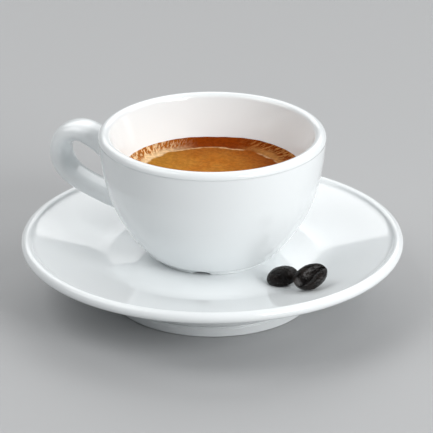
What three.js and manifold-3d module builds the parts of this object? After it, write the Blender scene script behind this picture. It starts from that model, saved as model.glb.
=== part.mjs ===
// An espresso shot in a thick porcelain cup on its saucer, with two roasted beans.
// Millimetres, +Z up. The saucer's axis is the Z axis, its foot stands on z = 0,
// and the cup's handle points along -X.

import * as THREE from 'three';
import { mergeVertices } from 'three/addons/utils/BufferGeometryUtils.js';
import Module from 'manifold-3d';

const LATHE_SEGMENTS = 48;
const FIT_GAP = 0.3;

// Saucer: a flat floor, a straight flare and a rounded bead at the rim, on a foot ring.
const SAUCER_RADIUS = 58;
const BEAD_RADIUS = 1.7;
const BEAD_HEIGHT = 18.6;
const FLOOR_HEIGHT = 14.4;
const FLOOR_RADIUS = 31;
const FLARE_START = 37.5;
const FLARE_END = 53.9;
const FLARE_SLOPE = 0.232;
const SAUCER_FOOT_OUTER = 30.9;
const SAUCER_FOOT_INNER = 27.6;
const SAUCER_FOOT_STEP = 3.2;
const SAUCER_RECESS = 8.4;

// Cup: a bowl between its foot and a rounded lip.
const CUP_BASE = FLOOR_HEIGHT + FIT_GAP;
const CUP_FOOT_OUTER = 17.8;
const CUP_FOOT_INNER = 15.4;
const CUP_FOOT_RISE = 1.0;
const BOWL_START_RADIUS = 19.3;
const BOWL_START_HEIGHT = CUP_BASE + 0.9;
const LIP_CENTRE_RADIUS = 32.4;
const LIP_CENTRE_HEIGHT = 52;
const LIP_RADIUS = 1.8;
const BOWL_ROUNDNESS = 0.8;
const BOWL_POWER = 2.8;
const INNER_FLOOR_HEIGHT = 21;
const NOTCH_HALF_WIDTH = 2.9;
const NOTCH_RISE = 0.85;
const NOTCH_ANGLE = THREE.MathUtils.degToRad(282);

// Handle: stations along its centre line, as distance from the cup's axis, height and half thickness.
const HANDLE_STATIONS = [
  [32.0, 44.5, 5.6],
  [34.7, 45.3, 4.3],
  [38.5, 46.9, 3.1],
  [43.0, 47.8, 3.0],
  [47.6, 46.2, 3.0],
  [49.9, 41.7, 2.95],
  [49.1, 37.0, 2.8],
  [46.0, 33.3, 2.6],
  [41.4, 30.9, 2.6],
  [36.3, 29.1, 2.9],
  [31.0, 27.7, 3.5],
  [24.3, 26.3, 3.6],
];
const HANDLE_HALF_WIDTH = 5;
const HANDLE_END_FLARE = 1;
const HANDLE_SECTION_POWER = 2.3;
const HANDLE_END_TURN = 8;

// Espresso: a flat disc with a crema edge that climbs to the wall.
const COFFEE_EDGE_RADIUS = 27.4;
const COFFEE_EDGE_HEIGHT = 41.2;
const COFFEE_DISC_RADIUS = 22;
const COFFEE_DISC_HEIGHT = 39.6;

// Beans: half an ellipsoid with a flat face and a cleft along it.
const BEAN_LENGTH = 11.2;
const BEAN_WIDTH = 8.2;
const BEAN_BACK = 4;
const BEAN_FACE = 1.6;
const CLEFT_DEPTH = 2;
const CLEFT_HALF_WIDTH = 0.7;
const CLEFT_OPENING = 2.6;
const CLEFT_END_DEPTH = 0.9;

const porcelain = { color: 0xf2f5f5, roughness: 0.08, metalness: 0 };
const crema = { color: 0xb5742f, roughness: 0.3, metalness: 0 };
const roasted = { color: 0x241815, roughness: 0.4, metalness: 0 };

const wasm = await Module();
wasm.setup();

// Points on a circle in the profile plane, angles in degrees.
function arc(radius, height, size, from, to, steps) {
  const points = [];
  for (let i = 0; i <= steps; i += 1) {
    const angle = THREE.MathUtils.degToRad(from + ((to - from) * i) / steps);
    points.push(new THREE.Vector2(radius + size * Math.cos(angle), height + size * Math.sin(angle)));
  }
  return points;
}

function point(radius, height) {
  return new THREE.Vector2(radius, height);
}

// Height of the saucer's upper face at a radius: floor, a short curve, then the flare.
function saucerTop(radius) {
  const curve = FLARE_START - FLOOR_RADIUS;
  if (radius <= FLOOR_RADIUS) {
    return FLOOR_HEIGHT;
  }
  if (radius <= FLARE_START) {
    return FLOOR_HEIGHT + (FLARE_SLOPE * (radius - FLOOR_RADIUS) ** 2) / (2 * curve);
  }
  return FLOOR_HEIGHT + FLARE_SLOPE * (radius - FLARE_START + curve / 2);
}

// Radius of the cup's outer face at a height: steep near the lip and round near the foot.
function bowlRadius(height) {
  const t = (height - BOWL_START_HEIGHT) / (LIP_CENTRE_HEIGHT - BOWL_START_HEIGHT);
  const round = BOWL_ROUNDNESS * (1 - (1 - t) ** BOWL_POWER) + (1 - BOWL_ROUNDNESS) * t;
  return BOWL_START_RADIUS + (LIP_CENTRE_RADIUS + LIP_RADIUS - BOWL_START_RADIUS) * round;
}

// The cup's inner face from the espresso's edge down to the middle of its floor.
function innerBowl() {
  return new THREE.CubicBezierCurve(
    point(COFFEE_EDGE_RADIUS, COFFEE_EDGE_HEIGHT),
    point(24.6, 27.5),
    point(17, INNER_FLOOR_HEIGHT),
    point(0, INNER_FLOOR_HEIGHT),
  );
}

// Turns a profile, drawn from the axis outwards and up, into a solid of revolution.
function turned(profile) {
  const geometry = new THREE.LatheGeometry(profile, LATHE_SEGMENTS);
  geometry.rotateX(Math.PI / 2);
  return geometry;
}

// Joins shared vertices and drops the empty triangles at an axis.
function welded(geometry) {
  const plain = geometry.clone();
  plain.deleteAttribute('normal');
  plain.deleteAttribute('uv');
  const merged = mergeVertices(plain, 1e-4);
  const corners = [...merged.index.array];
  const kept = [];
  for (let i = 0; i < corners.length; i += 3) {
    const [a, b, c] = corners.slice(i, i + 3);
    if (a !== b && b !== c && c !== a) {
      kept.push(a, b, c);
    }
  }
  merged.setIndex(kept);
  return merged;
}

function toSolid(geometry) {
  const closed = welded(geometry);
  const mesh = new wasm.Mesh({
    numProp: 3,
    vertProperties: new Float32Array(closed.attributes.position.array),
    triVerts: new Uint32Array(closed.index.array),
  });
  return new wasm.Manifold(mesh);
}

function toGeometry(solid) {
  const mesh = solid.getMesh();
  const geometry = new THREE.BufferGeometry();
  geometry.setAttribute('position', new THREE.BufferAttribute(mesh.vertProperties, 3));
  geometry.setIndex(new THREE.BufferAttribute(mesh.triVerts, 1));
  geometry.computeVertexNormals();
  return geometry;
}

function saucerGeometry() {
  const beadCentre = SAUCER_RADIUS - BEAD_RADIUS;
  const profile = [
    point(0, SAUCER_RECESS),
    point(SAUCER_FOOT_INNER - 3, SAUCER_RECESS - 0.2),
    point(SAUCER_FOOT_INNER - 0.8, SAUCER_RECESS - 1.6),
    ...arc(SAUCER_FOOT_INNER + 0.6, 0.6, 0.6, 180, 270, 2),
    ...arc(SAUCER_FOOT_OUTER - 0.7, 0.7, 0.7, -90, 0, 3),
    point(SAUCER_FOOT_OUTER + 0.1, SAUCER_FOOT_STEP - 0.4),
    point(SAUCER_FOOT_OUTER - 0.3, SAUCER_FOOT_STEP),
    point(SAUCER_FOOT_OUTER + 0.3, SAUCER_FOOT_STEP + 0.5),
  ];
  const underside = new THREE.CubicBezierCurve(
    point(SAUCER_FOOT_OUTER + 0.5, SAUCER_FOOT_STEP + 1.2),
    point(SAUCER_FOOT_OUTER + 2, 10.5),
    point(41, 12),
    point(beadCentre - 0.4, BEAD_HEIGHT - BEAD_RADIUS),
  );
  profile.push(...underside.getPoints(8));
  profile.push(...arc(beadCentre, BEAD_HEIGHT, BEAD_RADIUS, -75, 165, 10));
  const hollow = FLARE_END - 0.2;
  profile.push(point(hollow + 0.4, saucerTop(hollow) + 0.35));
  for (let i = 0; i <= 4; i += 1) {
    const radius = THREE.MathUtils.lerp(hollow - 0.7, FLARE_START, i / 4);
    profile.push(point(radius, saucerTop(radius)));
  }
  for (let i = 1; i <= 4; i += 1) {
    const radius = THREE.MathUtils.lerp(FLARE_START, FLOOR_RADIUS, i / 4);
    profile.push(point(radius, saucerTop(radius)));
  }
  profile.push(point(0, FLOOR_HEIGHT));
  return turned(profile);
}

function bowlGeometry() {
  const profile = [
    point(0, CUP_BASE + CUP_FOOT_RISE + 0.5),
    point(CUP_FOOT_INNER - 0.6, CUP_BASE + CUP_FOOT_RISE + 0.4),
    point(CUP_FOOT_INNER, CUP_BASE),
    point(CUP_FOOT_OUTER - 0.4, CUP_BASE),
    point(CUP_FOOT_OUTER, CUP_BASE + 0.4),
    point(CUP_FOOT_OUTER, CUP_BASE + CUP_FOOT_RISE),
  ];
  const steps = 14;
  for (let i = 1; i < steps; i += 1) {
    const height = THREE.MathUtils.lerp(BOWL_START_HEIGHT, LIP_CENTRE_HEIGHT, (i / steps) ** 1.3);
    profile.push(point(bowlRadius(height), height));
  }
  profile.push(...arc(LIP_CENTRE_RADIUS, LIP_CENTRE_HEIGHT, LIP_RADIUS, 0, 176, 8));
  profile.push(point(29.1, (LIP_CENTRE_HEIGHT + COFFEE_EDGE_HEIGHT) / 2));
  profile.push(...innerBowl().getPoints(10));
  return turned(profile);
}

// A round bar bent along the stations, its section an oval that widens into the wall at both ends,
// where it turns upright so that the whole end lies in the wall.
function handleGeometry() {
  const stations = HANDLE_STATIONS.map(([out, up, half]) => new THREE.Vector3(out, up, half));
  const line = new THREE.CatmullRomCurve3(stations);
  const geometry = new THREE.CylinderGeometry(1, 1, 1, 18, 34);
  const position = geometry.attributes.position;
  const squash = 2 / HANDLE_SECTION_POWER;
  const along = new THREE.Vector3();
  for (let i = 0; i < position.count; i += 1) {
    const t = 0.5 - position.getY(i);
    const centre = line.getPoint(t);
    line.getTangent(t, along);
    const rise = along.y * Math.min(1, HANDLE_END_TURN * Math.min(t, 1 - t));
    const run = Math.hypot(along.x, rise);
    const outward = position.getX(i);
    const across = position.getZ(i);
    const thick = centre.z * Math.sign(outward) * Math.abs(outward) ** squash;
    const flare = HANDLE_END_FLARE * Math.abs(2 * t - 1) ** 6;
    const wide = (HANDLE_HALF_WIDTH + flare) * Math.sign(across) * Math.abs(across) ** squash;
    const radius = centre.x - (rise / run) * thick;
    const height = centre.y + (along.x / run) * thick;
    position.setXYZ(i, -radius, wide, height);
  }
  return geometry;
}

// A low arch through the foot ring, where rinsing water drains.
function notchGeometry() {
  const arch = new THREE.Shape();
  arch.moveTo(NOTCH_HALF_WIDTH, -0.5);
  arch.lineTo(NOTCH_HALF_WIDTH, 0);
  arch.absellipse(0, 0, NOTCH_HALF_WIDTH, NOTCH_RISE, 0, Math.PI);
  arch.lineTo(-NOTCH_HALF_WIDTH, -0.5);
  const geometry = new THREE.ExtrudeGeometry(arch, { depth: 7, bevelEnabled: false, curveSegments: 10 });
  geometry.rotateX(Math.PI / 2);
  geometry.translate(0, CUP_FOOT_INNER + 5.2, CUP_BASE);
  geometry.rotateZ(NOTCH_ANGLE - Math.PI / 2);
  return geometry;
}

function cupGeometry() {
  const body = toSolid(bowlGeometry()).add(toSolid(handleGeometry()));
  return toGeometry(body.subtract(toSolid(notchGeometry())));
}

// The drink fills the bowl's inner face a fit gap clear of it, below a dished surface.
function espressoGeometry() {
  const profile = [];
  const wall = innerBowl();
  const steps = 10;
  for (let i = steps; i >= 0; i -= 1) {
    const on = wall.getPoint(i / steps);
    const way = wall.getTangent(i / steps);
    profile.push(point(Math.max(0, on.x + way.y * FIT_GAP), on.y - way.x * FIT_GAP));
  }
  const rim = profile.at(-1);
  const rise = COFFEE_EDGE_HEIGHT - COFFEE_DISC_HEIGHT;
  for (let i = 1; i <= 4; i += 1) {
    const t = i / 4;
    const radius = THREE.MathUtils.lerp(rim.x, COFFEE_DISC_RADIUS, t);
    profile.push(point(radius, COFFEE_DISC_HEIGHT + rise * (1 - t) ** 1.5));
  }
  profile.push(point(0, COFFEE_DISC_HEIGHT));
  return turned(profile);
}

// A bean along X with its round back up and its flat face down. The cleft gapes towards -X.
function beanGeometry() {
  const geometry = new THREE.SphereGeometry(1, 24, 16);
  const position = geometry.attributes.position;
  for (let i = 0; i < position.count; i += 1) {
    const along = position.getY(i);
    const side = position.getX(i);
    const up = position.getZ(i);
    const ring = Math.hypot(side, up);
    const across = (BEAN_WIDTH / 2) * side;
    const bend = 0.5 * Math.sin(Math.PI * along);
    const down = ring > 0 ? Math.abs(up) / ring : 0;
    const gape = CLEFT_HALF_WIDTH * (1 + (CLEFT_OPENING * (1 - along)) / 2);
    const deep = CLEFT_DEPTH * ring * (1 + CLEFT_END_DEPTH * Math.max(0, -along));
    const cleft = deep * down * Math.exp(-(((across - bend) / gape) ** 2));
    const back = BEAN_BACK * up;
    const face = cleft - BEAN_FACE * ring * Math.sqrt(down);
    position.setXYZ(i, (BEAN_LENGTH / 2) * along, -across, up >= 0 ? back : face);
  }
  return welded(geometry);
}

// Sizes a bean, turns it by a roll about its length, a pitch and a heading, sets it at an angle and a radius
// about the saucer's axis, and lowers it to a fit gap above the saucer.
function restingBean({ size, roll, pitch, heading, angle, radius }) {
  const geometry = beanGeometry().scale(size, size, size);
  geometry.rotateX(THREE.MathUtils.degToRad(roll));
  geometry.rotateY(THREE.MathUtils.degToRad(pitch));
  geometry.rotateZ(THREE.MathUtils.degToRad(heading));
  const place = THREE.MathUtils.degToRad(angle);
  geometry.translate(radius * Math.cos(place), radius * Math.sin(place), 0);
  const position = geometry.attributes.position;
  let clearance = Infinity;
  for (let i = 0; i < position.count; i += 1) {
    const under = saucerTop(Math.hypot(position.getX(i), position.getY(i)));
    clearance = Math.min(clearance, position.getZ(i) - under);
  }
  geometry.translate(0, 0, FIT_GAP - clearance);
  geometry.computeVertexNormals();
  return geometry;
}

function piece(name, geometry, finish) {
  const mesh = new THREE.Mesh(geometry, new THREE.MeshStandardMaterial(finish));
  mesh.name = name;
  return mesh;
}

const espressoShot = new THREE.Group();
espressoShot.add(piece('saucer', saucerGeometry(), porcelain));
espressoShot.add(piece('cup', cupGeometry(), porcelain));
espressoShot.add(piece('espresso', espressoGeometry(), crema));
const backUp = { size: 0.87, roll: 9.4, pitch: -12.3, heading: 23.8, angle: 334.05, radius: 31.36 };
const faceUp = { size: 0.96, roll: 197.4, pitch: -18, heading: 49.5, angle: 334.41, radius: 42.85 };
espressoShot.add(piece('bean_back_up', restingBean(backUp), roasted));
espressoShot.add(piece('bean_face_up', restingBean(faceUp), roasted));

export default espressoShot;
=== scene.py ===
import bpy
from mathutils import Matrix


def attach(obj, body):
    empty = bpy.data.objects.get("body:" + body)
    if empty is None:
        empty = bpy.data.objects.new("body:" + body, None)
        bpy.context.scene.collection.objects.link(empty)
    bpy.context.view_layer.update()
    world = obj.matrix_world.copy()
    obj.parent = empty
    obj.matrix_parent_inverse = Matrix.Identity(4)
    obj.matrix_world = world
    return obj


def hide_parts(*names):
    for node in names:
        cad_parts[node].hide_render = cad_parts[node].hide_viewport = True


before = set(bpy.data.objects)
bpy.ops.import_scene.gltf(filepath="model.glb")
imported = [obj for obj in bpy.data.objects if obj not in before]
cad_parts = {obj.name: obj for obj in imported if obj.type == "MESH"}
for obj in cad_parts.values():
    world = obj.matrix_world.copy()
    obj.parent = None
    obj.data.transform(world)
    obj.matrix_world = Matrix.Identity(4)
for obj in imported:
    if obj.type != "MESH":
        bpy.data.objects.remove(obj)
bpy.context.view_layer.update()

import math

import bpy
import numpy as np
from mathutils import Vector

# An espresso shot in a glazed porcelain cup on its saucer, with two roasted beans.
# Lengths are in millimetres until a mesh is made; the saucer's axis is Z and the handle points along -X.
MM = 0.001
TOUCH_GAP = 0.02

# Saucer
SAUCER_RADIUS = 58
SAUCER_UNDER_HEIGHT = 8.4
BEAD_RADIUS = 1.7
BEAD_HEIGHT = 18.6
BEAD_START_ANGLE = -72
BEAD_END_ANGLE = 140
FLOOR_HEIGHT = 14.4
FLOOR_RADIUS = 31
FLARE_START = 37.5
FLARE_SLOPE = 0.232
FLARE_END = 52.8

# Cup
CUP_BASE = FLOOR_HEIGHT + TOUCH_GAP
BOWL_START_RADIUS = 19.3
BOWL_START_HEIGHT = 15.6
BOWL_ROUNDNESS = 0.8
BOWL_POWER = 2.8
LIP_CENTRE_RADIUS = 32.4
LIP_CENTRE_HEIGHT = 52
LIP_RADIUS = 1.8
LIP_START_ANGLE = -4.7
LIP_END_ANGLE = 163.6
LIP_START_HEIGHT = 51.85
INNER_FLOOR_HEIGHT = 21

# Foot ring of the cup and its drain notch
FOOT_OUTER_RADIUS = 17.8
FOOT_INNER_RADIUS = 15.45
FOOT_ROUNDING = 0.35
FOOT_TOP_HEIGHT = 15.25
FOOT_BLEND_HEIGHT = 16.9
UNDERSIDE_STEPS = 8
FILLET_STEPS_KEPT = 4
NOTCH_HALF_WIDTH = 2.9
NOTCH_RADIUS = 18
NOTCH_RISE = 0.95
NOTCH_ANGLE = math.radians(282)

# Handle stations: distance from the cup's axis, height and half thickness.
HANDLE_STATIONS = np.array([
    [30.6, 41.4, 5.8], [34.7, 44.7, 3.9], [38.5, 46.6, 3.3], [43.0, 47.8, 3.0],
    [47.6, 46.2, 3.0], [49.9, 41.7, 2.95], [49.1, 37.0, 2.8], [46.0, 33.3, 2.6],
    [41.4, 30.9, 2.6], [36.3, 29.1, 2.75], [31.0, 27.7, 3.0], [24.3, 26.3, 3.0],
])
HANDLE_HALF_WIDTH = 5
HANDLE_SECTION_POWER = 2.4
HANDLE_FILLET = 1.9
HANDLE_END_TURN = 8

# Espresso. Waves are given as a count, a height and a phase.
COFFEE_EDGE_RADIUS = 27.4
COFFEE_EDGE_HEIGHT = 41.2
COFFEE_DISC_RADIUS = 22
COFFEE_DISC_HEIGHT = 39.6
DISC_WAVES = [(3, 0.35, 1), (5, 0.25, 0.3), (11, 0.12, 2), (23, 0.06, 0.7)]
EDGE_WAVES = [(2, 0.16, 0.5), (5, 0.1, 1.2), (9, 0.06, 0.4), (31, 0.03, 2)]
WALL_OVERLAP = 0.05
WALL_LEAN = 0.28
CLIMB_POWER = 1.5
RIDGE_HEIGHT = 0.1
RIDGE_WIDTH = 0.3

CREMA_GOLD = (0.4, 0.126, 0.011, 1)
CREMA_AMBER = (0.43, 0.17, 0.022, 1)
# Olive: painted light on the disc's side by the handle.
CREMA_PAINTED_LIGHT_OLIVE = (0.44, 0.20, 0.025, 1)
# Brown: the disc's browner rim, and painted shade on its far side.
CREMA_BROWN = (0.245, 0.047, 0.004, 1)
CREMA_RED = (0.205, 0.033, 0.002, 1)
# Beige and tan: foam colours, partly painted reflection of the lit cup wall. The beige also paints the
# highlight line round the disc.
CREMA_BEIGE_AND_PAINTED_SHINE = (0.82, 0.56, 0.31, 1)
CREMA_RUST = (0.42, 0.13, 0.018, 1)
CREMA_TAN_AND_PAINTED_REFLECTION = (0.44, 0.185, 0.05, 1)

# The crema's colours change over these ranges of the distance from its axis, in metres. Noise lengthens that
# distance by up to the wobble.
CREMA_WOBBLE = 0.003
CREMA_DISC_DARKENS = (0.0120, 0.0232)
CREMA_BAND_BEGINS = (0.0230, 0.0239)
CREMA_STREAKS_BEGIN = (0.0246, 0.0266)
# The broken pale line round the disc, a painted highlight, rises and falls over these.
CREMA_HIGHLIGHT_RISES = (0.0228, 0.0232)
CREMA_HIGHLIGHT_FALLS = (0.0240, 0.0234)

# The crema's sides: its pattern is turned about its axis from the line through the handle. The two spreads
# are distances along that turned line in metres, and the two sides are shares of the full way along it.
CREMA_TURN = math.radians(-22)
# The olive spread paints light on the disc's handle side, and the brown spread paints shade on its far side.
CREMA_PAINTED_LIGHT_SPREADS = (-0.003, -0.018)
CREMA_PAINTED_SHADE_SPREADS = (0.003, 0.021)
# The band's beige and tan sides are partly foam colour and partly painted reflection of the lit cup wall.
CREMA_HANDLE_SIDE = (-0.15, -0.8)
CREMA_FAR_SIDE = (0.25, 0.75)

# The crema's textures: scales of the noise, and the streaks' turn and stretch for each metre from the axis
CREMA_PATCH_SCALE = 150
CREMA_FINE_SCALE = 1000
STREAK_SCALE = 30
STREAK_SLANT = 30
STREAK_STRETCH = 14

# Beans. Ripples of the skin are given as a height, a pitch and a phase.
BEAN_LENGTH = 11.2
BEAN_WIDTH = 8.2
BEAN_BACK = 4
BEAN_FACE = 1.6
CLEFT_DEPTH = 2.4
CLEFT_HALF_WIDTH = 0.55
CLEFT_OPENING = 3
CLEFT_END_DEPTH = 0.9
CLEFT_BEND = 0.5
CLEFT_WOBBLE = 0.12
CLEFT_POWER = 1.6
SKIN_RIPPLES = [(0.1, 1.1, 0.4), (0.06, 2.6, 1.9)]
BACK_UP = {"size": 0.87, "roll": 9.4, "pitch": -12.3, "heading": 23.8, "angle": 334.05, "radius": 31.36}
FACE_UP = {"size": 0.96, "roll": 197.4, "pitch": -18, "heading": 49.5, "angle": 334.41, "radius": 42.85}

ROASTED_DARK = (0.003, 0.002, 0.0018, 1)
ROASTED_BROWN = (0.011, 0.007, 0.0055, 1)

# Grid points round each piece, and along the handle and the beans
PORCELAIN_ROUND = 256
HANDLE_ROUND = 72
HANDLE_ALONG = 420
ESPRESSO_ROUND = 288
BEAN_ROUND = 160
BEAN_ALONG = 140

# Camera in metres and degrees, turned about the saucer's axis
VIEW_AZIMUTH = 22
VIEW_ELEVATION = 23.45
VIEW_DISTANCE = 0.9
VIEW_TARGET = Vector((0.00118, 0.00048, 0.02585))
VIEW_LENS = 246.85

# Table in metres
TABLE_HALF_SIZE = 4


def line(start, stop, steps):
    """Points at equal steps on a straight line in the profile plane."""
    t = np.linspace(0, 1, steps)[:, None]
    return np.array(start) * (1 - t) + np.array(stop) * t


def arc(radius, height, size, start, stop, steps):
    """Points on a circle in the profile plane, from one angle to another in degrees."""
    angle = np.radians(np.linspace(start, stop, steps))
    return np.column_stack([radius + size * np.cos(angle), height + size * np.sin(angle)])


def bezier(a, b, c, d, steps):
    """Points on the cubic Bezier curve from a to d with the handles b and c."""
    t = np.linspace(0, 1, steps)[:, None]
    ends = np.array(a) * (1 - t) ** 3 + np.array(d) * t ** 3
    return ends + 3 * np.array(b) * t * (1 - t) ** 2 + 3 * np.array(c) * t ** 2 * (1 - t)


def profile_of(parts):
    """Joins runs of profile points and drops a point that repeats the one before it."""
    points = np.vstack(parts)
    step = np.linalg.norm(np.diff(points, axis=0), axis=1)
    return points[np.concatenate([[True], step > 1e-4])]


def closed_grid(name, points):
    """A mesh from a grid of points: rows go round and wrap, and the first and last column each close to one
    point."""
    count, steps = points.shape[:2]
    inner = steps - 2
    ends = [points[:, 0].mean(axis=0), points[:, -1].mean(axis=0)]
    vertices = np.vstack([points[:, 1:-1].reshape(-1, 3), ends]) * MM
    row = np.arange(count)[:, None] * inner
    after = np.roll(row, -1, axis=0)
    column = np.arange(inner - 1)[None, :]
    corners = [row + column, after + column, after + column + 1, row + column + 1]
    quads = np.stack(corners, axis=2).reshape(-1, 4)
    first = np.full(count, count * inner)
    near = np.column_stack([after[:, 0], row[:, 0], first])
    far = np.column_stack([row[:, 0] + inner - 1, after[:, 0] + inner - 1, first + 1])
    mesh = bpy.data.meshes.new(name)
    mesh.from_pydata(vertices.tolist(), [], quads.tolist() + near.tolist() + far.tolist())
    mesh.polygons.foreach_set("use_smooth", np.ones(len(mesh.polygons), dtype=bool))
    mesh.update()
    piece = bpy.data.objects.new(name, mesh)
    bpy.context.scene.collection.objects.link(piece)
    return piece


def angles(count):
    """Equal steps of angle round a full turn, in radians."""
    return np.arange(count) * 2 * np.pi / count


def turned(radius, height):
    """Points of a surface of revolution: one row per angle, one column per profile point."""
    turn = angles(len(radius))[:, None]
    return np.stack([radius * np.cos(turn), radius * np.sin(turn), height], axis=2)


def signed_power(value, power):
    """A power of the size of a value, with the value's sign."""
    return np.sign(value) * np.abs(value) ** power


def saucer_top(radius):
    """Height of the saucer's upper face: a flat floor, a parabola, then a straight flare."""
    curve = FLARE_START - FLOOR_RADIUS
    bent = FLARE_SLOPE * (radius - FLOOR_RADIUS) ** 2 / (2 * curve)
    flare = FLARE_SLOPE * (radius - FLARE_START + curve / 2)
    rise = np.where(radius <= FLARE_START, bent, flare)
    return FLOOR_HEIGHT + np.where(radius <= FLOOR_RADIUS, 0, rise)


def saucer_profile():
    """From the middle of the underside over the foot ring and the bead to the middle of the floor."""
    bead = SAUCER_RADIUS - BEAD_RADIUS
    slope = np.array([1, FLARE_SLOPE]) / math.hypot(1, FLARE_SLOPE)
    rim = arc(bead, BEAD_HEIGHT, BEAD_RADIUS, BEAD_START_ANGLE, BEAD_END_ANGLE, 36)
    under = rim[0]
    inside = rim[-1]
    flare = np.array([FLARE_END, float(saucer_top(FLARE_END))])
    top = np.linspace(FLARE_END, FLOOR_RADIUS, 60)
    return profile_of([
        line((0, SAUCER_UNDER_HEIGHT), (24, SAUCER_UNDER_HEIGHT), 10),
        bezier((24, SAUCER_UNDER_HEIGHT), (26.6, SAUCER_UNDER_HEIGHT), (27.2, 7), (27.6, 0.6), 16),
        arc(28.2, 0.6, 0.6, 180, 270, 8),
        arc(30.2, 0.7, 0.7, -90, 0, 8),
        line((30.9, 0.7), (31, 2.7), 5),
        bezier((31, 2.7), (31, 3), (30.6, 2.95), (30.6, 3.2), 6),
        bezier((30.6, 3.2), (30.6, 3.5), (31.1, 3.4), (31.3, 3.9), 6),
        bezier((31.4, 4.4), (32.9, 10.5), under - (13.3, 4.33), under, 40),
        rim,
        bezier(inside, inside - (0.58, 0.69), flare + 0.9 * slope, flare, 14),
        np.column_stack([top, saucer_top(top)]),
        line((FLOOR_RADIUS, FLOOR_HEIGHT), (0, FLOOR_HEIGHT), 24),
    ])


def saucer_points(count):
    """The saucer as a surface of revolution."""
    profile = saucer_profile()
    return turned(np.tile(profile[:, 0], (count, 1)), np.tile(profile[:, 1], (count, 1)))


def bowl_radius(height):
    """Radius of the cup's outer face at a height: round near the foot, steep near the lip."""
    t = np.clip((height - BOWL_START_HEIGHT) / (LIP_CENTRE_HEIGHT - BOWL_START_HEIGHT), 0, 1)
    blend = BOWL_ROUNDNESS * (1 - (1 - t) ** BOWL_POWER) + (1 - BOWL_ROUNDNESS) * t
    return BOWL_START_RADIUS + (LIP_CENTRE_RADIUS + LIP_RADIUS - BOWL_START_RADIUS) * blend


def inner_bowl(steps):
    """The cup's inner face from the espresso's edge down to the middle of its floor."""
    edge = (COFFEE_EDGE_RADIUS, COFFEE_EDGE_HEIGHT)
    return bezier(edge, (24.6, 27.5), (17, INNER_FLOOR_HEIGHT), (0, INNER_FLOOR_HEIGHT), steps)


def foot_profile():
    """From the middle of the cup's underside over the foot ring to the bowl, which it meets in a fillet."""
    edge = CUP_BASE + FOOT_ROUNDING
    bowl = (bowl_radius(FOOT_BLEND_HEIGHT), FOOT_BLEND_HEIGHT)
    top = (FOOT_OUTER_RADIUS, FOOT_TOP_HEIGHT)
    return profile_of([
        line((0, 16.2), (14.2, 16.15), UNDERSIDE_STEPS),
        bezier((14.2, 16.15), (15, 16.1), (15.3, 15.6), (FOOT_INNER_RADIUS, edge), 8),
        arc(FOOT_INNER_RADIUS + FOOT_ROUNDING, edge, FOOT_ROUNDING, 180, 270, 6),
        arc(FOOT_OUTER_RADIUS - FOOT_ROUNDING, edge, FOOT_ROUNDING, -90, 0, 6),
        line((FOOT_OUTER_RADIUS, edge), top, 4),
        bezier(top, (FOOT_OUTER_RADIUS, 15.7), (19.7, 15.95), bowl, 14),
    ])


def cup_points(count):
    """The bowl as a surface of revolution. At the drain notch half an ellipse lifts the foot ring, but not
    the underside within it or the end of the fillet."""
    heights = np.linspace(FOOT_BLEND_HEIGHT, LIP_START_HEIGHT, 88)
    lip = arc(LIP_CENTRE_RADIUS, LIP_CENTRE_HEIGHT, LIP_RADIUS, LIP_START_ANGLE, LIP_END_ANGLE, 30)
    foot = foot_profile()
    profile = profile_of([
        foot,
        np.column_stack([bowl_radius(heights), heights]),
        lip,
        line(lip[-1], (COFFEE_EDGE_RADIUS, COFFEE_EDGE_HEIGHT), 24),
        inner_bowl(40),
    ])
    radius = np.tile(profile[:, 0], (count, 1))
    height = np.tile(profile[:, 1], (count, 1))
    away = np.angle(np.exp(1j * (angles(count) - NOTCH_ANGLE))) * NOTCH_RADIUS / NOTCH_HALF_WIDTH
    arch = CUP_BASE + NOTCH_RISE * np.sqrt(np.clip(1 - away ** 2, 0, 1))
    ring = slice(UNDERSIDE_STEPS, len(foot) - FILLET_STEPS_KEPT)
    height[:, ring] = np.maximum(height[:, ring], arch[:, None])
    return turned(radius, height)


def smooth_line(stations, count):
    """A natural cubic spline through the stations, at equal steps of chord length."""
    chord = np.linalg.norm(np.diff(stations[:, :2], axis=0), axis=1)
    knots = np.concatenate([[0], np.cumsum(chord)])
    size = len(knots)
    inner = np.arange(1, size - 1)
    system = np.eye(size)
    system[inner, inner - 1] = chord[:-1]
    system[inner, inner] = 2 * (chord[:-1] + chord[1:])
    system[inner, inner + 1] = chord[1:]
    slope = np.diff(stations, axis=0) / chord[:, None]
    right = np.zeros_like(stations)
    right[1:-1] = 6 * np.diff(slope, axis=0)
    bend = np.linalg.solve(system, right)
    at = np.linspace(0, knots[-1], count)
    k = np.clip(np.searchsorted(knots, at, side="right") - 1, 0, size - 2)
    t = (at - knots[k])[:, None]
    width = chord[k][:, None]
    first = slope[k] - width * (2 * bend[k] + bend[k + 1]) / 6
    cubic = (bend[k + 1] - bend[k]) / (6 * width)
    return stations[k] + first * t + bend[k] / 2 * t ** 2 + cubic * t ** 3


def from_bowl(points):
    """Distance of points from the cup's outer face, and the unit normal of that face beside them. The face's
    slope is taken over a short step of height."""
    step = 0.05
    out = np.hypot(points[..., 0], points[..., 1])
    height = points[..., 2]
    slope = (bowl_radius(height + step) - bowl_radius(height - step)) / (2 * step)
    size = np.hypot(1, slope)
    normal = np.stack([points[..., 0] / out, points[..., 1] / out, -slope], axis=-1) / size[..., None]
    return (out - bowl_radius(height)) / size, normal


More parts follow.
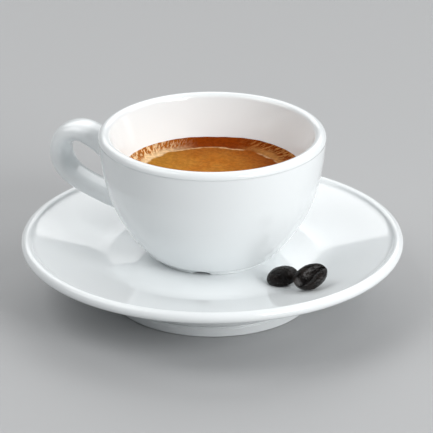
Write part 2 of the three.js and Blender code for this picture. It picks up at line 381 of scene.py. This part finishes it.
def handle_bar(count, around):
    """An oval section, a superellipse, swept along the spline and turned upright at both ends so that they
    lie in the wall. Gives its points along +X and the way outward at each."""
    centre = smooth_line(HANDLE_STATIONS, count)
    way = np.gradient(centre[:, :2], axis=0)
    t = np.linspace(0, 1, count)
    way[:, 1] *= np.minimum(1, HANDLE_END_TURN * np.minimum(t, 1 - t))
    way /= np.linalg.norm(way, axis=1)[:, None]
    turn = angles(around)[None, :]
    half = centre[:, 2:3]
    thick = np.column_stack([-way[:, 1], np.zeros(count), way[:, 0]])[:, None, :]
    side = np.array([0, 1, 0])
    middle = np.column_stack([centre[:, 0], np.zeros(count), centre[:, 1]])[:, None, :]
    over = signed_power(np.cos(turn), 2 / HANDLE_SECTION_POWER) * half
    across = signed_power(np.sin(turn), 2 / HANDLE_SECTION_POWER) * HANDLE_HALF_WIDTH
    bar = middle + over[..., None] * thick + across[..., None] * side
    outward = (np.cos(turn) * HANDLE_HALF_WIDTH)[..., None] * thick + (np.sin(turn) * half)[..., None] * side
    return bar, outward


def filleted(bar, outward):
    """Near the wall each point slides along the wall by the height of a round fillet at its distance from
    the bowl, and keeps that distance, so the handle meets the glaze without a crease."""
    gap, normal = from_bowl(bar)
    outward = outward - (outward * normal).sum(axis=-1, keepdims=True) * normal
    outward /= np.maximum(np.linalg.norm(outward, axis=-1, keepdims=True), 1e-6)
    reach = np.clip(HANDLE_FILLET - np.abs(gap), 0, HANDLE_FILLET)
    push = HANDLE_FILLET - np.sqrt(HANDLE_FILLET ** 2 - reach ** 2)
    slid = bar + push[..., None] * outward
    moved, normal = from_bowl(slid)
    return slid + ((gap - moved) * (push > 0))[..., None] * normal


def handle_points(count, around):
    """The filleted handle, mirrored to point along -X."""
    bar, outward = handle_bar(count, around)
    return (filleted(bar, outward) * np.array([-1, 1, 1])).transpose(1, 0, 2)


def joined(name, body, other):
    """The union of two closed meshes as one object; the second object is removed."""
    union = body.modifiers.new("union", "BOOLEAN")
    union.operation = "UNION"
    union.solver = "EXACT"
    union.object = other
    mesh = bpy.data.meshes.new_from_object(body.evaluated_get(bpy.context.evaluated_depsgraph_get()))
    mesh.name = name
    mesh.polygons.foreach_set("use_smooth", np.ones(len(mesh.polygons), dtype=bool))
    body.modifiers.clear()
    body.data = mesh
    bpy.data.objects.remove(other)
    return body


def waves(turn, parts):
    """A sum of sine waves round the axis, each given as a count, a height and a phase."""
    return sum(height * np.sin(count * turn + phase) for count, height, phase in parts)


def espresso_points(count):
    """The drink: its side lies on the cup's inner face, and its top is a flat disc with an uneven crema edge
    that climbs to the wall by a power of the distance. A thin ridge, a bell curve, runs round the disc."""
    turn = angles(count)[:, None]
    side = inner_bowl(30)[::-1]
    ring = COFFEE_DISC_RADIUS + waves(turn, DISC_WAVES)
    edge = COFFEE_EDGE_HEIGHT + waves(turn, EDGE_WAVES)
    wall = COFFEE_EDGE_RADIUS + WALL_OVERLAP + (edge - COFFEE_EDGE_HEIGHT) * WALL_LEAN
    t = np.linspace(0, 1, 40)[None, :]
    band = wall + (ring - wall) * t
    climb = COFFEE_DISC_HEIGHT + (edge - COFFEE_DISC_HEIGHT) * (1 - t) ** CLIMB_POWER
    disc = ring * np.linspace(1, 0, 48)[None, 1:]
    flat = np.full_like(disc, COFFEE_DISC_HEIGHT)
    radius = np.hstack([np.tile(side[:-1, 0], (count, 1)), band, disc])
    height = np.hstack([np.tile(side[:-1, 1], (count, 1)), climb, flat])
    top = np.arange(radius.shape[1]) >= len(side) - 1
    height = height + top * RIDGE_HEIGHT * np.exp(-((radius - ring) / RIDGE_WIDTH) ** 2)
    return turned(radius, height)


def ripple(points, pitch, phase):
    """A smooth uneven value in space: products of sines along three slanted directions."""
    ways = np.array([[1.0, 0.6, -0.3], [-0.4, 1.1, 0.7], [0.5, -0.8, 1.0]])
    phases = phase + np.array([0.3, 1.7, 2.9])
    first = np.sin(points @ ways.T * pitch + phases)
    second = np.sin(points @ ways[::-1].T * pitch * 1.7 + phases[::-1] * 1.3)
    return (first * second).sum(axis=-1) / 2


def bean_points(count, steps):
    """A bean along X, back up: half an ellipsoid closed by a low face with a curved cleft that gapes and
    deepens towards -X. Ripples roughen the skin and the cleft's two lips."""
    along = -np.cos(np.linspace(0, np.pi, steps))[None, :]
    ring = np.sqrt(np.clip(1 - along ** 2, 0, 1))
    turn = angles(count)[:, None]
    side = -np.cos(turn) * ring
    up = np.sin(turn) * ring
    down = np.abs(np.sin(turn))
    across = BEAN_WIDTH / 2 * side
    bend = CLEFT_BEND * np.sin(np.pi * along) + CLEFT_WOBBLE * np.sin(9 * along + 0.6)
    gape = CLEFT_HALF_WIDTH * (1 + CLEFT_OPENING * (1 - along) / 2)
    deep = CLEFT_DEPTH * ring * (1 + CLEFT_END_DEPTH * np.clip(-along, 0, 1))
    cleft = deep * down * np.exp(-np.abs((across - bend) / gape) ** CLEFT_POWER)
    face = cleft - BEAN_FACE * ring * np.sqrt(down)
    x = np.broadcast_to(BEAN_LENGTH / 2 * along, up.shape)
    points = np.stack([x, -across, np.where(up >= 0, BEAN_BACK * up, face)], axis=2)
    skin = sum(height * ripple(points, pitch, phase) for height, pitch, phase in SKIN_RIPPLES)
    outward = points / np.array([BEAN_LENGTH, BEAN_WIDTH, BEAN_BACK * 2])
    outward = outward / np.maximum(np.linalg.norm(outward, axis=2, keepdims=True), 1e-6)
    return points + outward * (skin * ring)[:, :, None]


def turning(axis, degrees):
    """Rotation matrix about one axis, 0 for X, 1 for Y and 2 for Z."""
    c = math.cos(math.radians(degrees))
    s = math.sin(math.radians(degrees))
    matrix = np.eye(3)
    first = (axis + 1) % 3
    second = (axis + 2) % 3
    matrix[first, first] = c
    matrix[second, second] = c
    matrix[first, second] = -s
    matrix[second, first] = s
    return matrix


def resting(points, size, roll, pitch, heading, angle, radius):
    """Sizes and turns a bean, places it over the saucer at an angle and a radius, and lowers it to rest
    there."""
    turn = turning(2, heading) @ turning(1, pitch) @ turning(0, roll)
    place = math.radians(angle)
    moved = points @ turn.T * size + np.array([radius * math.cos(place), radius * math.sin(place), 0])
    clearance = moved[..., 2] - saucer_top(np.hypot(moved[..., 0], moved[..., 1]))
    return moved - np.array([0, 0, clearance.min() - TOUCH_GAP])


class Shader:
    """A material with a Principled shader and short calls to add nodes to it."""

    def __init__(self, name):
        self.material = bpy.data.materials.new(name)
        self.material.use_nodes = True
        self.tree = self.material.node_tree
        self.surface = self.tree.nodes["Principled BSDF"]
        self.place = self.node("ShaderNodeTexCoord").outputs["Object"]

    def node(self, kind, inputs=None, **settings):
        """Adds a node, with its settings and inputs."""
        made = self.tree.nodes.new(kind)
        for key, value in settings.items():
            setattr(made, key, value)
        for key, value in (inputs or {}).items():
            self.put(value, made.inputs[key])
        return made

    def put(self, value, socket):
        """Links another node's output to a socket, or sets the socket to a constant."""
        if isinstance(value, bpy.types.NodeSocket):
            self.tree.links.new(value, socket)
        else:
            socket.default_value = value

    def noise(self, vector, scale, detail=3, roughness=0.55):
        """Smooth noise between 0 and 1."""
        inputs = {"Vector": vector, "Scale": scale, "Detail": detail, "Roughness": roughness}
        return self.node("ShaderNodeTexNoise", inputs).outputs["Fac"]

    def ramp(self, value, low, high, start=0, stop=1):
        """A smooth step from start to stop while the value goes from low to high."""
        inputs = {"Value": value, "From Min": low, "From Max": high, "To Min": start, "To Max": stop}
        return self.node("ShaderNodeMapRange", inputs, interpolation_type="SMOOTHSTEP").outputs["Result"]

    def blend(self, factor, first, second, blend_type="MIX"):
        """One colour laid over another by a factor."""
        made = self.node("ShaderNodeMix", data_type="RGBA", blend_type=blend_type)
        self.put(factor, made.inputs[0])
        self.put(first, made.inputs[6])
        self.put(second, made.inputs[7])
        return made.outputs[2]

    def combine(self, operation, first, second):
        """A sum or a product of two values."""
        made = self.node("ShaderNodeMath", operation=operation)
        self.put(first, made.inputs[0])
        self.put(second, made.inputs[1])
        return made.outputs[0]

    def bump(self, height, strength, distance):
        """Roughens the surface by a height."""
        inputs = {"Height": height, "Strength": strength, "Distance": distance}
        self.put(self.node("ShaderNodeBump", inputs).outputs["Normal"], self.surface.inputs["Normal"])


def glazed_porcelain():
    """Cool white body under a clear glaze, with a faint waviness."""
    shader = Shader("glazed_porcelain")
    shader.surface.inputs["Base Color"].default_value = (0.82, 0.85, 0.86, 1)
    shader.surface.inputs["Roughness"].default_value = 0.07
    shader.surface.inputs["IOR"].default_value = 1.52
    shader.bump(shader.noise(shader.place, 90, 1), 0.04, 0.0004)
    return shader.material


def crema_streaks(shader, way, radius):
    """Streak noise in polar coordinates. The direction from the axis is turned in proportion to the
    distance, so the streaks slant."""
    slant = {"Vector": way, "Angle": shader.combine("MULTIPLY", radius, STREAK_SLANT)}
    slanted = shader.node("ShaderNodeVectorRotate", slant, rotation_type="Z_AXIS").outputs["Vector"]
    parts = shader.node("ShaderNodeSeparateXYZ", {"Vector": slanted})
    rise = shader.combine("MULTIPLY", radius, STREAK_STRETCH)
    polar = shader.node("ShaderNodeCombineXYZ", {"X": parts.outputs[0], "Y": parts.outputs[1], "Z": rise})
    return shader.noise(polar.outputs["Vector"], STREAK_SCALE, 3, 0.6)


def crema_disc(shader, patch, reach, across):
    """Patches of gold and amber, browner towards the rim. Painted light makes the handle side olive, and
    painted shade makes the far side browner.
    """
    disc = shader.blend(shader.ramp(patch, 0.3, 0.7), CREMA_GOLD, CREMA_AMBER)
    disc = shader.blend(shader.ramp(reach, *CREMA_DISC_DARKENS, 0, 0.55), disc, CREMA_BROWN)
    # Painted light: olive by the handle. Painted shade: brown on the far side.
    disc = shader.blend(shader.ramp(across, *CREMA_PAINTED_LIGHT_SPREADS, 0, 0.8), disc, CREMA_PAINTED_LIGHT_OLIVE)
    return shader.blend(shader.ramp(across, *CREMA_PAINTED_SHADE_SPREADS, 0, 0.7), disc, CREMA_BROWN)


def crema_band(shader, streak, reach, sideways):
    """A ring of foam, red-brown at the back, beige by the handle and tan on the far side, with streaks that
    come in from the wall. The beige and tan sides are partly foam colour and partly painted reflection of
    the lit cup wall."""
    handle_side = shader.ramp(sideways, *CREMA_HANDLE_SIDE)
    far_side = shader.ramp(sideways, *CREMA_FAR_SIDE)
    # Beige and tan sides: partly foam colour, partly painted reflection of the lit cup wall.
    foam = shader.blend(handle_side, CREMA_RED, CREMA_BEIGE_AND_PAINTED_SHINE)
    foam = shader.blend(far_side, foam, CREMA_TAN_AND_PAINTED_REFLECTION)
    near_wall = shader.ramp(reach, *CREMA_STREAKS_BEGIN)
    stain = shader.combine("MULTIPLY", near_wall, shader.ramp(streak, 0.44, 0.52))
    return shader.blend(stain, foam, shader.blend(handle_side, CREMA_RED, CREMA_RUST))


def crema_foam():
    """A golden disc inside a streaked ring of foam, by distance from the axis plus some noise. A broken pale
    line, a painted highlight, runs round the disc, and fine specks cover all."""
    shader = Shader("crema_foam")
    flat = shader.node("ShaderNodeMapping", {"Vector": shader.place, "Scale": (1, 1, 0)}).outputs["Vector"]
    radius = shader.node("ShaderNodeVectorMath", {0: flat}, operation="LENGTH").outputs["Value"]
    way = shader.node("ShaderNodeVectorMath", {0: flat}, operation="NORMALIZE").outputs["Vector"]
    pattern = shader.node("ShaderNodeMapping", {"Vector": way, "Rotation": (0, 0, CREMA_TURN)})
    sideways = shader.node("ShaderNodeSeparateXYZ", {"Vector": pattern.outputs["Vector"]}).outputs[0]
    patch = shader.noise(shader.place, CREMA_PATCH_SCALE, 3)
    fine = shader.noise(shader.place, CREMA_FINE_SCALE, 3)
    reach = shader.combine("ADD", radius, shader.combine("MULTIPLY", patch, CREMA_WOBBLE))
    disc = crema_disc(shader, patch, reach, shader.combine("MULTIPLY", sideways, radius))
    band = crema_band(shader, crema_streaks(shader, way, radius), reach, sideways)
    colour = shader.blend(shader.ramp(reach, *CREMA_BAND_BEGINS), disc, band)
    # A broken pale line round the disc: a painted highlight.
    rises = shader.ramp(reach, *CREMA_HIGHLIGHT_RISES)
    falls = shader.ramp(reach, *CREMA_HIGHLIGHT_FALLS)
    breaks = shader.ramp(patch, 0.42, 0.62, 0, 0.6)
    painted_highlight_line = shader.combine("MULTIPLY", shader.combine("MULTIPLY", rises, falls), breaks)
    colour = shader.blend(painted_highlight_line, colour, CREMA_BEIGE_AND_PAINTED_SHINE)
    specks = shader.ramp(fine, 0.35, 0.65, 0.82, 1.1)
    shader.put(shader.blend(1, colour, specks, "MULTIPLY"), shader.surface.inputs["Base Color"])
    shader.surface.inputs["Roughness"].default_value = 0.42
    shader.surface.inputs["Specular IOR Level"].default_value = 0.01
    shader.bump(fine, 0.1, 0.0002)
    return shader.material


def roasted_skin():
    """Nearly black brown with an oily sheen, fine pits and uneven gloss."""
    shader = Shader("roasted_skin")
    patch = shader.noise(shader.place, 420, 4)
    pits = shader.node("ShaderNodeTexVoronoi", {"Vector": shader.place, "Scale": 750}).outputs["Distance"]
    colour = shader.blend(shader.ramp(patch, 0.35, 0.7), ROASTED_DARK, ROASTED_BROWN)
    shader.put(colour, shader.surface.inputs["Base Color"])
    shader.put(shader.ramp(patch, 0.3, 0.7, 0.16, 0.32), shader.surface.inputs["Roughness"])
    shader.surface.inputs["Specular IOR Level"].default_value = 0.22
    grain = shader.combine("ADD", shader.noise(shader.place, 1800, 3), shader.ramp(pits, 0, 0.35))
    shader.bump(grain, 0.6, 0.0003)
    return shader.material


def pale_table():
    """A plain matt grey."""
    shader = Shader("pale_table")
    shader.surface.inputs["Base Color"].default_value = (0.42, 0.425, 0.43, 1)
    shader.surface.inputs["Roughness"].default_value = 0.6
    return shader.material


def direction(azimuth, elevation):
    """Unit vector from the object, measured from the camera's side: azimuth 0 is towards the camera, 90 is
    to its right."""
    a = math.radians(azimuth + VIEW_AZIMUTH)
    e = math.radians(elevation)
    return Vector((math.sin(a) * math.cos(e), -math.cos(a) * math.cos(e), math.sin(e)))


def softbox(name, azimuth, elevation, distance, width, height, power):
    """A rectangular area light that faces the cup."""
    lamp = bpy.data.lights.new(name, "AREA")
    lamp.shape = "RECTANGLE"
    lamp.size = width
    lamp.size_y = height
    lamp.energy = power
    box = bpy.data.objects.new(name, lamp)
    box.location = direction(azimuth, elevation) * distance + VIEW_TARGET
    box.rotation_euler = direction(azimuth, elevation).to_track_quat("Z", "Y").to_euler()
    box.visible_camera = False
    bpy.context.scene.collection.objects.link(box)


def camera():
    """A long lens at the photo's angle, aimed a little above the saucer."""
    lens = bpy.data.cameras.new("photo_view")
    lens.lens = VIEW_LENS
    lens.clip_start = 0.05
    eye = bpy.data.objects.new("photo_view", lens)
    eye.location = direction(0, VIEW_ELEVATION) * VIEW_DISTANCE + VIEW_TARGET
    eye.rotation_euler = direction(0, VIEW_ELEVATION).to_track_quat("Z", "Y").to_euler()
    bpy.context.scene.collection.objects.link(eye)
    bpy.context.scene.camera = eye


def table_top():
    """A wide square floor at height 0."""
    half = TABLE_HALF_SIZE
    mesh = bpy.data.meshes.new("table_top")
    corners = [(-half, -half, 0), (half, -half, 0), (half, half, 0), (-half, half, 0)]
    mesh.from_pydata(corners, [], [(0, 1, 2, 3)])
    table = bpy.data.objects.new("table_top", mesh)
    table.data.materials.append(pale_table())
    bpy.context.scene.collection.objects.link(table)


def dress(piece, material, node):
    """Gives a piece its material and puts it in the place of a solid."""
    piece.data.materials.clear()
    piece.data.materials.append(material)
    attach(piece, "root")
    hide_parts(node)


def build():
    """Makes the five pieces and dresses them."""
    saucer = closed_grid("saucer_glazed", saucer_points(PORCELAIN_ROUND))
    bowl = closed_grid("cup_glazed", cup_points(PORCELAIN_ROUND))
    cup = joined("cup_glazed", bowl, closed_grid("handle_bar", handle_points(HANDLE_ALONG, HANDLE_ROUND)))
    espresso = closed_grid("espresso_crema", espresso_points(ESPRESSO_ROUND))
    bean = bean_points(BEAN_ROUND, BEAN_ALONG)
    back_up = closed_grid("bean_back_up_roasted", resting(bean, **BACK_UP))
    face_up = closed_grid("bean_face_up_roasted", resting(bean, **FACE_UP))
    glaze = glazed_porcelain()
    skin = roasted_skin()
    dress(saucer, glaze, "saucer")
    dress(cup, glaze, "cup")
    dress(espresso, crema_foam(), "espresso")
    dress(back_up, skin, "bean_back_up")
    dress(face_up, skin, "bean_face_up")


def light():
    """A dim cool room with four softboxes: a wide one behind, one at each side and a small one in front."""
    world = bpy.data.worlds.new("studio")
    world.use_nodes = True
    sky = world.node_tree.nodes["Background"]
    sky.inputs["Color"].default_value = (0.95, 0.98, 1, 1)
    sky.inputs["Strength"].default_value = 0.15
    bpy.context.scene.world = world
    bpy.context.scene.view_settings.view_transform = "Standard"
    softbox("back_box", azimuth=181, elevation=42, distance=1.2, width=1.6, height=0.8, power=7.4)
    softbox("right_box", azimuth=88, elevation=40, distance=1.1, width=0.8, height=0.8, power=4)
    softbox("left_box", azimuth=-80, elevation=50, distance=1.1, width=0.8, height=0.8, power=5.4)
    softbox("front_box", azimuth=43, elevation=26, distance=1.2, width=0.55, height=0.5, power=10.4)


build()
table_top()
light()
camera()
bpy.context.view_layer.update()
